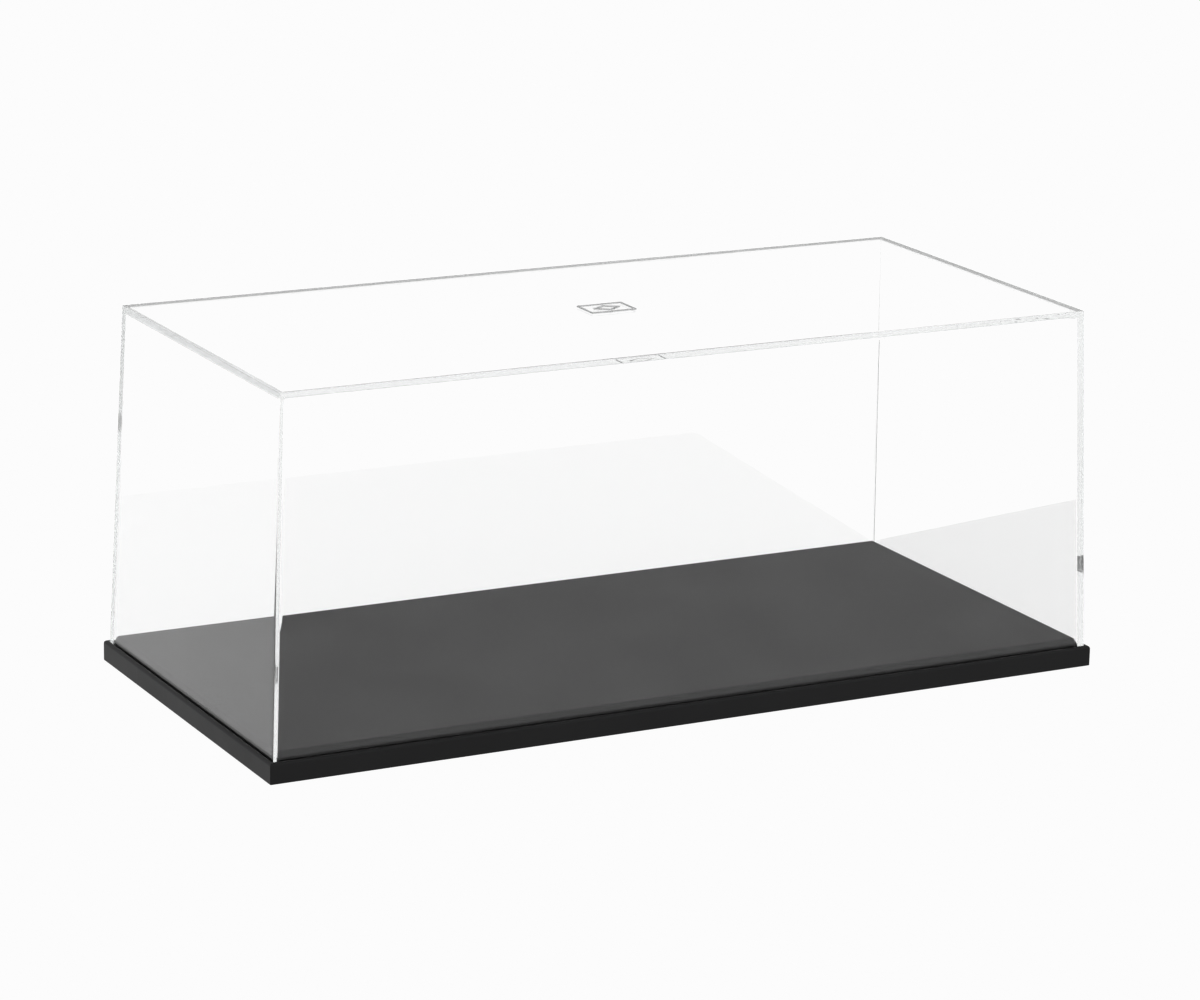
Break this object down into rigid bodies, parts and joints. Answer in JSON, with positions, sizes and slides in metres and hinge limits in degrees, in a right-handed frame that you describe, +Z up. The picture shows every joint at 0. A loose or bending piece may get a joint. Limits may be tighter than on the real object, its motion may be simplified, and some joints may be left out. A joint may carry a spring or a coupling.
{
  "type": "display case",
  "caption": "Long display case for a scale model: a clear one-piece cover stands in the groove of a low black base and lifts straight off.",
  "frame": {"origin": "middle of the base's underside, on the surface that the case stands on", "axes": "+X along the case, +Y to its back and +Z up, the way the cover lifts off"},
  "size_m": [0.38, 0.1776, 0.1547],
  "materials": {
    "black_plastic": "moulded black polystyrene, glossy on the rim and its sides and satin on the deck",
    "clear_plastic": "polished clear polystyrene"
  },
  "bodies": {
    "base": {"base": "black_plastic"},
    "cover": {"cover": "clear_plastic"}
  },
  "joints": [
    {"name": "cover_lift", "type": "slide", "parent": "base", "child": "cover", "axis": [0, 0, 1], "range_m": [0, 0.16]}
  ]
}
